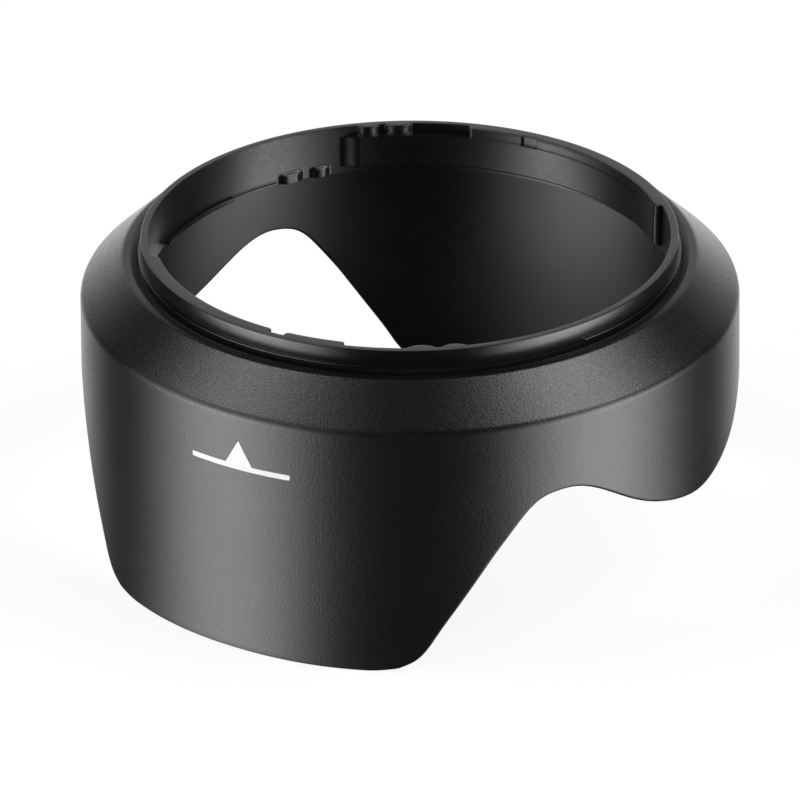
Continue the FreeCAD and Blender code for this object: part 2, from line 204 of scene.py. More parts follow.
# ---------------------------------------------------------------------------
# Shader node helpers
# ---------------------------------------------------------------------------
def new_material(name):
    material = bpy.data.materials.new(name)
    material.use_nodes = True
    tree = material.node_tree
    tree.nodes.clear()
    output = tree.nodes.new("ShaderNodeOutputMaterial")
    bsdf = tree.nodes.new("ShaderNodeBsdfPrincipled")
    tree.links.new(bsdf.outputs[0], output.inputs[0])
    return material, tree, bsdf


def object_coords(tree):
    return tree.nodes.new("ShaderNodeTexCoord").outputs["Object"]


def feed(tree, socket, value):
    """Link a socket to the input, or set the input to a plain value."""
    if isinstance(value, bpy.types.NodeSocket):
        tree.links.new(value, socket)
    else:
        socket.default_value = value


def noise(tree, coords, size, detail=2.0, roughness=0.5):
    """Noise with features of the given size in mm."""
    node = tree.nodes.new("ShaderNodeTexNoise")
    node.inputs["Scale"].default_value = 1000 / size
    node.inputs["Detail"].default_value = detail
    node.inputs["Roughness"].default_value = roughness
    tree.links.new(coords, node.inputs["Vector"])
    return node.outputs["Fac"]


def map_range(tree, value, source, target, smoothstep=False):
    """Map the source range (min, max) onto the target range, clamped."""
    node = tree.nodes.new("ShaderNodeMapRange")
    if smoothstep:
        node.interpolation_type = "SMOOTHSTEP"
    node.inputs["From Min"].default_value, node.inputs["From Max"].default_value = source
    node.inputs["To Min"].default_value, node.inputs["To Max"].default_value = target
    tree.links.new(value, node.inputs["Value"])
    return node.outputs["Result"]


def maths(tree, operation, *operands):
    node = tree.nodes.new("ShaderNodeMath")
    node.operation = operation
    for k, operand in enumerate(operands):
        feed(tree, node.inputs[k], operand)
    return node.outputs[0]


def mix_colours(tree, factor, first, second):
    node = tree.nodes.new("ShaderNodeMix")
    node.data_type = "RGBA"
    # Inputs 6 and 7 and output 2 are the node's colour sockets.
    for k, value in ((0, factor), (6, first), (7, second)):
        feed(tree, node.inputs[k], value)
    return node.outputs[2]


def add_bump(tree, bsdf, height):
    """Relief from a height in mm."""
    bump = tree.nodes.new("ShaderNodeBump")
    bump.inputs["Distance"].default_value = MM
    tree.links.new(height, bump.inputs["Height"])
    tree.links.new(bump.outputs[0], bsdf.inputs["Normal"])


# ---------------------------------------------------------------------------
# Materials: black moulded plastic in several surface states, two of them with a lighter base
# as painted fill light, and white ink
# ---------------------------------------------------------------------------
BLACK = (0.0036, 0.0036, 0.0037)


def dust_flecks(tree, coords):
    """Mask of rare small spots: the cores of a few cells of a 2.6 mm cell pattern."""
    cells = tree.nodes.new("ShaderNodeTexVoronoi")
    cells.feature = "F1"
    cells.inputs["Scale"].default_value = 1000 / 2.6
    tree.links.new(coords, cells.inputs["Vector"])
    cell_value = tree.nodes.new("ShaderNodeSeparateColor")
    tree.links.new(cells.outputs["Color"], cell_value.inputs[0])
    core = map_range(tree, cells.outputs["Distance"], source=(0.016, 0.030), target=(1.0, 0.0))
    rare = map_range(tree, cell_value.outputs[0], source=(0.955, 0.985), target=(0.0, 1.0))
    return maths(tree, "MULTIPLY", core, rare)


def plastic(name, *, roughness, roughness_spread, grain_size, grain_depth, tooth_size,
            tooth_depth, sink_depth=0.0, specular=0.5, base=BLACK):
    """Moulded plastic: eroded grain, a finer tooth on it, and a slow sink of the wall (mm)."""
    material, tree, bsdf = new_material(name)
    coords = object_coords(tree)

    # Colour: faint unevenness of the pigment, and flecks of lighter dust.
    blotch = noise(tree, coords, size=9.0, detail=3.0, roughness=0.55)
    darker = tuple(x * 0.88 for x in base) + (1.0,)
    lighter = tuple(x * 1.14 for x in base) + (1.0,)
    blotch = map_range(tree, blotch, source=(0.3, 0.7), target=(0.0, 1.0))
    colour = mix_colours(tree, blotch, darker, lighter)
    dust = dust_flecks(tree, coords)
    dust_cover = maths(tree, "MULTIPLY", dust, 0.30)
    colour = mix_colours(tree, dust_cover, colour, (0.20, 0.20, 0.20, 1.0))
    tree.links.new(colour, bsdf.inputs["Base Color"])

    # Roughness: large soft patches, the grain, and matter dust.
    patch = noise(tree, coords, size=14.0)
    grain = noise(tree, coords, size=grain_size, roughness=0.55)
    tooth = noise(tree, coords, size=tooth_size, detail=1.0)
    rough = map_range(tree, patch, source=(0.3, 0.7),
                      target=(roughness - roughness_spread, roughness + roughness_spread))
    grain_rough = map_range(tree, grain, source=(0.3, 0.7), target=(-0.03, 0.03))
    rough = maths(tree, "ADD", rough, grain_rough)
    rough = maths(tree, "ADD", rough, maths(tree, "MULTIPLY", dust, 0.2))
    tree.links.new(rough, bsdf.inputs["Roughness"])
    bsdf.inputs["IOR"].default_value = 1.50
    bsdf.inputs["Specular IOR Level"].default_value = specular

    height = maths(tree, "MULTIPLY", grain, grain_depth)
    height = maths(tree, "ADD", height, maths(tree, "MULTIPLY", tooth, tooth_depth))
    if sink_depth:
        sink = noise(tree, coords, size=11.0, detail=1.0, roughness=0.4)
        height = maths(tree, "ADD", height, maths(tree, "MULTIPLY", sink, sink_depth))
    add_bump(tree, bsdf, height)
    return material


def ink_material():
    """White print whose cover varies finely and over wider patches."""
    material, tree, bsdf = new_material("pad_print_ink")
    coords = object_coords(tree)
    cover = noise(tree, coords, size=0.16, detail=3.0, roughness=0.6)
    wide = noise(tree, coords, size=1.4)
    fine_share = map_range(tree, cover, source=(0.25, 0.75), target=(0.0, 0.7))
    wide_share = map_range(tree, wide, source=(0.3, 0.7), target=(0.0, 0.3))
    brightness = maths(tree, "ADD", fine_share, wide_share)
    thin, dense = (0.66, 0.665, 0.67, 1.0), (0.83, 0.83, 0.825, 1.0)
    colour = mix_colours(tree, brightness, thin, dense)
    tree.links.new(colour, bsdf.inputs["Base Color"])
    rough = map_range(tree, cover, source=(0.3, 0.7), target=(0.48, 0.60))
    tree.links.new(rough, bsdf.inputs["Roughness"])
    relief = noise(tree, coords, size=0.2, roughness=0.55)
    add_bump(tree, bsdf, maths(tree, "MULTIPLY", relief, 0.012))
    return material


SATIN_RELIEF = dict(grain_size=0.55, grain_depth=0.0025, tooth_size=0.12, tooth_depth=0.0015)

mat_grain = plastic(
    "plastic_eroded_grain", roughness=0.27, roughness_spread=0.015, grain_size=0.18,
    grain_depth=0.028, tooth_size=0.10, tooth_depth=0.008, sink_depth=0.006, specular=0.55)
mat_skirt = plastic(
    "plastic_eroded_grain_fine", roughness=0.295, roughness_spread=0.015, grain_size=0.24,
    grain_depth=0.020, tooth_size=0.12, tooth_depth=0.005, sink_depth=0.006, specular=0.55)
mat_satin = plastic(
    "plastic_satin_inside", roughness=0.34, roughness_spread=0.03, sink_depth=0.006,
    **SATIN_RELIEF)
# The slit between shell and ring gets a grey base: painted fill light that lightens the shade
# in this narrow, deep recess.
mat_slit_painted_light = plastic(
    "plastic_slit_painted_fill_light", base=(0.045, 0.045, 0.045), roughness=0.45, roughness_spread=0.03,
    **SATIN_RELIEF)
# The wall below the lip gets a lighter black than the rest: painted fill light in the shade
# under the lip.
mat_under_lip_painted_light = plastic(
    "plastic_under_lip_painted_fill_light", base=(0.009, 0.009, 0.009), roughness=0.40,
    roughness_spread=0.03, **SATIN_RELIEF)
mat_band = plastic(
    "plastic_semi_gloss_band", roughness=0.23, roughness_spread=0.02, grain_size=0.60,
    grain_depth=0.0012, tooth_size=0.15, tooth_depth=0.0006, sink_depth=0.002)
mat_face = plastic(
    "plastic_rear_face", roughness=0.36, roughness_spread=0.02, grain_size=0.22,
    grain_depth=0.012, tooth_size=0.09, tooth_depth=0.003, specular=0.68)
mat_ink = ink_material()

# ---------------------------------------------------------------------------
# Hood shell
# ---------------------------------------------------------------------------
LONG_PETAL_AZ = 58.8           # middle of one long petal; the other is opposite

# Lower edge over a quarter turn, from the middle of a long petal to that of a short one:
# degrees from the long petal's middle, depth below the mount face.
PETAL_EDGE = [
    (0, 36.15), (6, 36.18), (12, 36.22), (18, 36.25), (22, 36.25), (25, 36.20),
    (27.5, 36.00), (29, 35.80), (30.2, 35.45), (31.5, 34.98), (32.8, 34.22),
    (34.1, 33.10), (35.5, 31.60), (37, 30.07), (39, 28.13), (41, 26.18),
    (43, 24.22), (45, 22.28), (47, 20.52), (48.5, 19.24), (50, 18.02),
    (51.5, 16.98), (53, 16.24), (55, 15.73), (57, 15.54), (59, 15.54),
    (61, 15.80), (63, 16.30), (65, 16.97), (67, 17.76), (69, 18.58),
    (71, 19.38), (73.5, 20.28), (76, 21.05), (79, 21.80), (82, 22.43),
    (85, 22.91), (87.5, 23.19), (90, 23.30),
]
EDGE_ROUND = 0.28              # rounding of the petal edge, measured across the edge
SLOPE_R = 38.0                 # radius at which the edge's slope is taken

# Corners of the profile as (radius, z), from the seat outwards, then the inner wall.
SEAT_IN_R = 30.75
SEAT_UNDER_Z = -4.90
SLIT_FOOT = (31.45, -3.30)
SLIT_TOP = (31.45, -2.76)
FLAT_IN = (32.35, -2.28)
FLAT_OUT = (33.25, -2.28)
CONE_FOOT = (38.14, -6.66)
INNER_CORNER = (36.46, -7.20)
INNER_CONE_TOP = (33.80, SEAT_UNDER_Z)
SKIRT_END_Z = -36.60           # height at which the two end radii below hold
SKIRT_END_OUT_R, SKIRT_END_IN_R = 38.82, 37.30
SKIRT_AIM_Z = -20.0            # any point down the skirt, to aim the corner fillets at


def skirt_radius(z, start, end_r):
    start_r, start_z = start
    return start_r + (end_r - start_r) * (start_z - z) / (start_z - SKIRT_END_Z)


def skirt_out(z):
    return skirt_radius(z, CONE_FOOT, SKIRT_END_OUT_R)


def skirt_in(z):
    return skirt_radius(z, INNER_CORNER, SKIRT_END_IN_R)


def petal_edge_spline():
    """Edge height over the whole turn: the quarter mirrored, then the first point dropped."""
    quarter = [(float(angle), -float(depth)) for angle, depth in PETAL_EDGE]
    half = quarter + [(180.0 - angle, z) for angle, z in reversed(quarter[:-1])]
    turn = half + [(angle + 180.0, z) for angle, z in half[1:-1]]
    return periodic_spline([angle for angle, _ in turn], [z for _, z in turn], 360.0)


def build_shell():
    grain, satin, slit, skirt = range(4)
    count = 1080
    skirt_rows = 56
    azimuths = np.arange(count) * 360.0 / count
    edge = petal_edge_spline()
    edge_z = edge(azimuths - LONG_PETAL_AZ)
    slope = edge(azimuths - LONG_PETAL_AZ, slope=True) / (SLOPE_R * math.pi / 180.0)
    # On a sloping edge the rounding is taller in the profile's upright plane.
    round_z = EDGE_ROUND * np.sqrt(1 + slope ** 2)
    round_top = edge_z + round_z

    profile = TurnedProfile(azimuths)
    add = profile.add
    # Seat floor and slit; the slit's grey base is painted fill light.
    for r in (SEAT_IN_R, 31.1, SLIT_FOOT[0]):
        add(r, SLIT_FOOT[1], slit)
    profile.add_points(fillet(SLIT_FOOT, SLIT_TOP, FLAT_IN, radius=0.10, steps=6), slit)
    add(31.9, -2.52, slit)
    # Flat annulus and its outer shoulder.
    profile.add_points(fillet(SLIT_TOP, FLAT_IN, FLAT_OUT, radius=0.45, steps=5), satin)
    add(32.75, FLAT_IN[1], satin)
    for k, (r, z) in enumerate(fillet(FLAT_IN, FLAT_OUT, CONE_FOOT, radius=0.80, steps=12)):
        add(r, z, satin if k < 3 else grain)
    # Cone and its rounded foot.
    for share in np.linspace(0.06, 0.76, 13):
        add(FLAT_OUT[0] + (CONE_FOOT[0] - FLAT_OUT[0]) * share,
            FLAT_OUT[1] + (CONE_FOOT[1] - FLAT_OUT[1]) * share, grain)
    outer_aim = (skirt_out(SKIRT_AIM_Z), SKIRT_AIM_Z)
    foot = fillet(FLAT_OUT, CONE_FOOT, outer_aim, radius=1.30, steps=16)
    for k, (r, z) in enumerate(foot):
        add(r, z, grain if k < 9 else skirt)
    # Outer skirt down to the rounded edge.
    skirt_top = foot[-1][1]
    for share in np.linspace(0, 1, skirt_rows)[1:]:
        z = skirt_top + (round_top - skirt_top) * share
        add(skirt_out(z), z, skirt)
    for k in range(1, 7):
        angle = k / 6 * math.pi / 2
        add(skirt_out(round_top) - EDGE_ROUND * (1 - math.cos(angle)),
            edge_z + round_z * (1 - math.sin(angle)), satin if k > 3 else skirt)
    # Flat of the edge, and its inner rounding.
    flat_out_r = skirt_out(round_top) - EDGE_ROUND
    flat_in_r = skirt_in(round_top) + EDGE_ROUND
    for share in (0.25, 0.5, 0.75):
        add(flat_out_r + (flat_in_r - flat_out_r) * share, edge_z, satin)
    for k in range(7):
        angle = k / 6 * math.pi / 2
        add(skirt_in(round_top) + EDGE_ROUND * (1 - math.sin(angle)),
            edge_z + round_z * (1 - math.cos(angle)), satin)
    # Inner skirt up to the inner corner.
    inner_aim = (skirt_in(SKIRT_AIM_Z), SKIRT_AIM_Z)
    corner = fillet(inner_aim, INNER_CORNER, INNER_CONE_TOP, radius=1.00, steps=10)
    for share in np.linspace(0, 1, skirt_rows)[1:-1]:
        z = round_top + (corner[0][1] - round_top) * share
        add(skirt_in(z), z, satin)
    profile.add_points(corner, satin)
    # Inner cone, underside of the seat, and the seat's bore.
    for share in (0.35, 0.7):
        add(INNER_CORNER[0] + (INNER_CONE_TOP[0] - INNER_CORNER[0]) * share,
            INNER_CORNER[1] + (INNER_CONE_TOP[1] - INNER_CORNER[1]) * share, satin)
    profile.add_points(fillet(INNER_CORNER, INNER_CONE_TOP, (SEAT_IN_R, SEAT_UNDER_Z),
                              radius=0.5, steps=4), satin)
    for r in (32.6, 31.6, 30.85):
        add(r, SEAT_UNDER_Z, satin)
    for z in (-4.8, -4.3, -3.8):
        add(SEAT_IN_R, z, satin)

    shell = profile.build("hood_shell_visual", (mat_grain, mat_satin, mat_slit_painted_light, mat_skirt))
    finish_part(shell, 32.0, body="hood", node="hood_shell")


build_shell()

# ---------------------------------------------------------------------------
# Ring: its inner wall is a relief, a radius for each azimuth and height.
# Every feature occurs twice, half a turn apart.
# ---------------------------------------------------------------------------
BORE, LAND = 30.10, 29.20      # radii of the plain bore and of the raised lands
ARC_R = 29.6                   # radius at which lengths along the wall are taken
FAR_R = 99.0                   # stands for "no feature here"
RING_OUT_R = 31.0
RING_LOW_OUT_R = 30.70         # outer radius below the seat floor

NOTCH_Z = -1.25                # bottom of the upper storey of the lands
LAND_Z = -5.20                 # bottom of the lands
SHELF_Z = -5.50                # top of the shelf below the groove
LOW_Z = -6.00                  # underside of the ring

# Stretches of the relief: start azimuth, sweep, in degrees.
LONG_LUG = (12.0, 46.6)
SHORT_LUG = (62.3, 13.5)
LUG_PAIR = (12.0, 63.8)        # both lugs with the notch between them
SHALLOW_NOTCH = (57.5, 5.9)
SHALLOW_NOTCH_R = 29.48
LAND_STRETCH = (12.0, 120.0)   # its far end is overruled by the soft ramp
LAND_RAMP_END_AZ = 106.2
LAND_MID_AZ, LAND_HALF = 59.0, 52.0
SHELF = (134.8, 27.5)
RAIL = (122.0, 13.5)
LIP_GAP = (84.5, 43.5)
SOFT_ROUND, FINE_ROUND = 0.45, 0.15    # end roundings of the lugs
GROOVE_TOP_Z, GROOVE_DEPTH = -4.60, 0.32
SHELF_R = 29.50
SHELF_ROUND = 0.16
RAIL_Z, RAIL_HALF, RAIL_HEIGHT = -5.55, 0.16, 0.10

# Round bumps: azimuth, radius, distance of centre from axis, half width of the fine azimuths.
BUMPS = [(92.3, 2.20, 31.47, 3.6), (99.2, 1.75, 31.08, 3.2)]
# Low humps beside the rail: start azimuth, sweep, run-out of the ends in mm.
HUMPS = [(108.2, 5.5, 1.15), (114.8, 7.0, 1.25)]
HUMP_R, HUMP_TOP_Z = 29.62, -4.62

# Azimuths near which the relief changes, and the offsets of the extra grid lines there.
RELIEF_MARKS = [12.0, 58.6, 62.3, 75.8, 84.5, 102.4, 104.0, 105.2, 108.4, 113.5, 115.0,
                121.6, 122.0, 128.0, 134.8, 135.5, 162.3]
MARK_OFFSETS = np.array([-1.3, -1.02, -0.82, -0.64, -0.48, -0.34, -0.30, -0.22, -0.12, -0.03,
                         0.03, 0.12, 0.22, 0.34, 0.48, 0.64, 0.82, 1.02, 1.3])

# Heights of the inner wall's grid lines; a close pair is added at each step.
WALL_Z = [-0.01, -0.03, -0.06, -0.10, -0.16, -0.23, -0.30, -0.36, -0.6, -0.9, -1.02, -1.1,
          -1.18, -1.6, -2.2, -2.8, -3.4, -4.0, -4.4, -4.52, -4.60, -4.68, -4.76, -4.84,
          -4.92, -5.0, -5.07, -5.14, -5.30, -5.38, -5.44, -5.54, -5.60, -5.66, -5.74, -5.9]
STEP_OFFSET = 0.012

# Lip round the outer band: how far it stands out, z.
LIP_PROFILE = [(0.015, -1.846), (0.22, -1.850), (0.28, -1.857), (0.320, -1.874),
               (0.345, -1.900), (0.358, -1.930), (0.36, -1.965), (0.342, -1.987),
               (0.30, -1.996), (0.08, -2.00), (0.02, -2.02), (0.0, -2.06)]
LIP_END_ROUND = 0.40
LIP_RUNOUT = 4.5               # degrees over which the lip fades towards a catch


def arc_mm(angle, r=ARC_R):
    return wrap(angle) * math.pi / 180.0 * r


def from_end(azimuth, start, sweep, r):
    """Distance in mm inside the nearer end of a stretch; negative outside it."""
    middle, half = start + sweep / 2, sweep / 2 * math.pi / 180.0 * r
    return half - np.abs(arc_mm(azimuth - middle, r))


def raised(azimuth, start, sweep, end_round, r_in=LAND):
    """Radius of a raised stretch with rounded ends; the bore away from it."""
    inside = from_end(azimuth, start, sweep, LAND)
    r = r_in + end_round * (1 - quarter_round(np.clip(inside / end_round, 0, 1)))
    return np.where(inside >= 0, np.minimum(r, BORE), BORE)


def hump(azimuth, start, sweep, runout):
    """Radius of a low rib whose ends run out gently."""
    return BORE + (HUMP_R - BORE) * smooth(from_end(azimuth, start, sweep, ARC_R) / runout)


def round_bump(azimuth, middle, radius, centre_r):
    """Radius of the near side of an upright cylinder."""
    angle = np.radians(wrap(azimuth - middle))
    reach = radius ** 2 - (centre_r * np.sin(angle)) ** 2
    r = centre_r * np.cos(angle) - np.sqrt(np.clip(reach, 0, None))
    return np.where((reach > 0) & (np.abs(angle) < 1.0), r, FAR_R)


def both_turns(relief, azimuth):
    return np.minimum(relief(azimuth), relief(azimuth - 180.0))


def land_radius(azimuth):
    """The lands: a firm stop at their start, a long soft ramp at their end."""
    def land(a):
        soft = BORE + (LAND - BORE) * smooth(arc_mm(LAND_RAMP_END_AZ - a) / 2.4)
        firm = raised(a, *LAND_STRETCH, end_round=0.80)
        on_land = np.abs(wrap(a - LAND_MID_AZ)) < LAND_HALF
        return np.where(on_land, np.maximum(firm, soft), BORE)
    return both_turns(land, azimuth)


def upper_radius(azimuth):
    """Upper storey of the lands: two lugs with a narrow notch between, then two bumps."""
    def lugs(a, end_round):
        r = np.minimum(raised(a, *LONG_LUG, end_round), raised(a, *SHORT_LUG, end_round))
        return np.maximum(r, raised(a, *LUG_PAIR, SOFT_ROUND))

    def bumps(a):
        return np.minimum(*(round_bump(a, *bump[:3]) for bump in BUMPS))

    # The notch of the rear land stays shallow; its partner goes down to the bore.
    shallow = raised(azimuth, *SHALLOW_NOTCH, FINE_ROUND, r_in=SHALLOW_NOTCH_R)
    rear = np.minimum(lugs(azimuth, FINE_ROUND), shallow)
    front = lugs(azimuth - 180.0, SOFT_ROUND)
    r = np.minimum(np.minimum(rear, front), np.minimum(both_turns(bumps, azimuth), BORE))
    return np.maximum(r, land_radius(azimuth))


def in_range(azimuth, start, sweep):
    middle = start + sweep / 2
    return ((np.abs(wrap(azimuth - middle)) <= sweep / 2)
            | (np.abs(wrap(azimuth - 180.0 - middle)) <= sweep / 2))


def ring_azimuths():
    """An even comb plus tight clusters where the relief changes, without near doubles."""
    groups = [np.arange(0, 360, 0.5)]
    for turn in (0.0, 180.0):
        groups += [mark + turn + MARK_OFFSETS for mark in RELIEF_MARKS]
        groups += [middle + turn + np.linspace(-half, half, 41)
                   for middle, _, _, half in BUMPS]
    azimuths = np.unique(np.round(np.concatenate(groups) % 360.0, 3))
    return azimuths[np.append(np.diff(azimuths) > 0.015, True)]


RING_AZ = ring_azimuths()
UPPER_R, LAND_R = upper_radius(RING_AZ), land_radius(RING_AZ)
ON_SHELF = in_range(RING_AZ, *SHELF)
ON_RAIL = in_range(RING_AZ, *RAIL) & ~ON_SHELF


def humps_radius(z):
    """The low humps, fading in below their soft tops."""
    lift = smooth((HUMP_TOP_Z - z) / 0.42)
    if lift <= 0:
        return np.full(len(RING_AZ), FAR_R)
    r = both_turns(lambda a: np.minimum(*(hump(a, *row) for row in HUMPS)), RING_AZ)
    return BORE + (r - BORE) * lift


def inner_radius(z):
    """Relief of the inner wall at height z, for every ring azimuth."""
    if z > NOTCH_Z:
        # Rounded rim, a little larger on the raised parts.
        rim = 0.10 + 0.09 * (BORE - UPPER_R) / (BORE - LAND)
        from_rim = np.clip((rim + z) / rim, 0, 1)
        # The upper storey of a lug stands back a hair.
        setback = 0.05 * smooth((z - NOTCH_Z) / 0.25) * (UPPER_R < BORE - 0.01)
        return UPPER_R + setback + rim * (1 - np.sqrt(np.clip(1 - from_rim ** 2, 0, 1)))
    if z > LAND_Z:
        # The lower edge of the lands is slightly rounded.
        r = np.minimum(LAND_R + 0.14 * smooth((LAND_Z + 0.20 - z) / 0.20), BORE)
        groove = BORE + GROOVE_DEPTH * smooth((GROOVE_TOP_Z - z) / 0.30)
        r = np.where(ON_SHELF & (z < GROOVE_TOP_Z), groove, r)
        return np.minimum(r, humps_radius(z))
    if z > SHELF_Z:
        shelf = BORE + GROOVE_DEPTH
    else:
        shelf = SHELF_R + 0.12 * smooth((z - SHELF_Z + SHELF_ROUND) / SHELF_ROUND)
    r = np.where(ON_SHELF, shelf, BORE)
    rail = 1.0 - smooth(abs(z - RAIL_Z) / RAIL_HALF)
    r = np.where(ON_RAIL, BORE - RAIL_HEIGHT * rail, r)
    return np.minimum(r, humps_radius(z))


def lip_weight():
    """1 where the lip stands and 0 in its two gaps."""
    start, sweep = LIP_GAP
    middle, half = start + sweep / 2, sweep / 2

    def distance(azimuth):
        return np.minimum(np.abs(wrap(RING_AZ - azimuth)),
                          np.abs(wrap(RING_AZ - 180.0 - azimuth)))

    past_gap = (distance(middle) - half) * math.pi / 180.0 * RING_OUT_R
    weight = quarter_round(np.clip(past_gap / LIP_END_ROUND, 0, 1))
    # Towards the click catches the lip runs out slowly.
    beside = distance(start)
    return np.where(beside < LIP_RUNOUT, weight * smooth(beside / LIP_RUNOUT), weight)


def build_ring_blank():
    """The whole ring, before the catches are parted from it."""
    band, face, wall, under = range(4)
    profile = TurnedProfile(RING_AZ)
    add = profile.add
    # Mount face, from its inner edge outwards.
    face_in_r = inner_radius(0.0)
    for share in (0.0, 0.3, 0.65, 1.0):
        add(face_in_r + (30.86 - face_in_r) * share, 0.0, face)
    rim = fillet((30.0, 0.0), (RING_OUT_R, 0.0), (RING_OUT_R, -1.0), radius=0.13, steps=7)
    profile.add_points(rim[1:], band)
    # Outer band with the lip, and the wall below it.
    for z in (-0.5, -1.0, -1.45, -1.75, -1.835):
        add(RING_OUT_R, z, band)
    lip = lip_weight()
    for out, z in LIP_PROFILE:
        add(RING_OUT_R + out * lip, z, band)
    # Below the lip the lighter black is painted fill light for the shade there.
    for z in (-2.3, -2.8, -3.22):
        add(RING_OUT_R, z, under)
    profile.add_points([(30.98, -3.29), (30.74, -3.295)], under)
    # Lower outer wall and underside.
    for z in (-3.33, -4.2, -5.2, -5.92):
        add(RING_LOW_OUT_R, z, wall)
    low_out_r, chamfer = 30.62, 0.05
    low_in_r = inner_radius(-5.99)
    add(low_out_r, LOW_Z, wall)
    add(0.5 * (low_out_r + low_in_r + chamfer), LOW_Z, wall)
    add(low_in_r + chamfer, LOW_Z, wall)
    add(low_in_r, LOW_Z + chamfer, wall)
    # Inner wall, upwards.
    steps = [step + side for step in (NOTCH_Z, LAND_Z, SHELF_Z)
             for side in (STEP_OFFSET, -STEP_OFFSET)]
    for z in sorted(WALL_Z + steps):
        add(inner_radius(z), z, wall)
    return profile.build("mount_ring_visual", (mat_band, mat_face, mat_satin, mat_under_lip_painted_light))


# Block that parts a catch from the ring: radii and top.
BLOCK_IN_R, BLOCK_OUT_R, BLOCK_TOP_Z = 25.0, 34.0, 2.0
CATCH_AZ = 91.6
# The ring's cut is slightly larger than the catch, which leaves a hairline gap.
CATCH_BLOCK = dict(half_width=6.738, low_z=-3.290)
GAP_BLOCK = dict(half_width=6.740, low_z=-3.302)


def make_block(azimuth, half_width, low_z):
    bm = bmesh.new()
    bmesh.ops.create_cube(bm, size=1.0)
    size = (BLOCK_OUT_R - BLOCK_IN_R, 2 * half_width, BLOCK_TOP_Z - low_z)
    middle = ((BLOCK_IN_R + BLOCK_OUT_R) / 2 * MM, 0, (BLOCK_TOP_Z + low_z) / 2 * MM)
    bmesh.ops.scale(bm, vec=[length * MM for length in size], verts=bm.verts)
    bmesh.ops.translate(bm, vec=middle, verts=bm.verts)
    bmesh.ops.rotate(bm, cent=(0, 0, 0), verts=bm.verts,
                     matrix=Matrix.Rotation(math.radians(azimuth), 3, "Z"))
    mesh = bpy.data.meshes.new("tool")
    bm.to_mesh(mesh)
    bm.free()
    mesh.materials.append(mat_satin)
    return link_object("tool", mesh)


def cut_with_block(ob, operation, azimuth, half_width, low_z):
    """Apply a boolean with a block, then remove the block."""
    block = make_block(azimuth, half_width, low_z)
    modifier = ob.modifiers.new("cut", "BOOLEAN")
    modifier.operation = operation
    modifier.object = block
    modifier.solver = "EXACT"
    bpy.context.view_layer.update()
    depsgraph = bpy.context.evaluated_depsgraph_get()
    result = bpy.data.meshes.new_from_object(ob.evaluated_get(depsgraph))
    ob.modifiers.clear()
    used_meshes = (ob.data, block.data)
    ob.data = result
    bpy.data.objects.remove(block)
    for mesh in used_meshes:
        bpy.data.meshes.remove(mesh)


def build_ring_and_catches():
    ring = build_ring_blank()
    parts = [(ring, "hood", "mount_ring")]
    for turn, tag in ((0.0, "rear"), (180.0, "front")):
        catch = ring.copy()
        catch.data = ring.data.copy()
        catch.name = f"click_catch_{tag}_visual"
        bpy.context.scene.collection.objects.link(catch)
        cut_with_block(catch, "INTERSECT", CATCH_AZ + turn, **CATCH_BLOCK)
        parts.append((catch, f"catch_{tag}", f"click_catch_{tag}"))
    for turn in (0.0, 180.0):
        cut_with_block(ring, "DIFFERENCE", CATCH_AZ + turn, **GAP_BLOCK)
    for ob, body, node in parts:
        finish_part(ob, 28.0, body=body, node=node)


build_ring_and_catches()

# ---------------------------------------------------------------------------
# Index mark: a thin closed film of ink on the skirt, a pointer standing on a bar
# ---------------------------------------------------------------------------
MARK_AZ = 240.1
MARK_ARC_R = 38.3              # radius at which the mark's width is laid out
INK_LIFT, INK_SINK = 0.05, -0.01       # front and back of the film, from the skirt
BAR_HALF, BAR_BASE_Z, BAR_HEIGHT = 6.30, -13.35, 0.62
BAR_CORNER = 0.12              # printed corners are never quite square
POINTER_HALF, POINTER_HEIGHT = 1.69, 2.925
MARK_ROWS = 7


def build_index_mark():
    across = np.unique(np.round(np.concatenate([
        np.linspace(-BAR_HALF, BAR_HALF, 85),
        np.linspace(-POINTER_HALF, POINTER_HALF, 41),
        [-BAR_HALF + 0.03, BAR_HALF - 0.03]]), 4))
    from_middle = np.abs(across)
    pointer = np.where(from_middle < POINTER_HALF,
                       POINTER_HEIGHT * (1 - from_middle / POINTER_HALF), 0.0)
    into_corner = np.clip((BAR_CORNER - (BAR_HALF - from_middle)) / BAR_CORNER, 0, 1)
    trim = BAR_CORNER * (1 - np.sqrt(np.clip(1 - into_corner ** 2, 0, 1)))
    top = (pointer + BAR_BASE_Z + BAR_HEIGHT - trim)[:, None]
    bottom = (BAR_BASE_Z + trim)[:, None]
    z = bottom + (top - bottom) * np.arange(MARK_ROWS) / (MARK_ROWS - 1)
    angle = (np.radians(MARK_AZ) + across / MARK_ARC_R)[:, None]
    front, back = (polar_points(skirt_out(z) + lift, angle, z)
                   for lift in (INK_LIFT, INK_SINK))
    # Front and back wrap into one tube, whose ends are then filled.
    tube = np.concatenate([front, back[:, ::-1]], axis=1)
    mark = mesh_from_grid("index_mark_visual", tube, closed_u=False)
    bm = bmesh.new()
    bm.from_mesh(mark.data)
    bmesh.ops.holes_fill(bm, edges=[e for e in bm.edges if e.is_boundary], sides=0)
    bmesh.ops.remove_doubles(bm, verts=bm.verts, dist=1e-7)
    bmesh.ops.recalc_face_normals(bm, faces=bm.faces)
    bm.to_mesh(mark.data)
    bm.free()
    mark.data.materials.append(mat_ink)
    finish_part(mark, 40.0, body="hood", node="index_mark")


build_index_mark()

# ---------------------------------------------------------------------------
# Floor, light and camera (metres)
# ---------------------------------------------------------------------------
scene = bpy.context.scene
scene.view_settings.view_transform = "Standard"
scene.view_settings.look = "None"
scene.view_settings.exposure = 0.0
scene.view_settings.gamma = 1.0


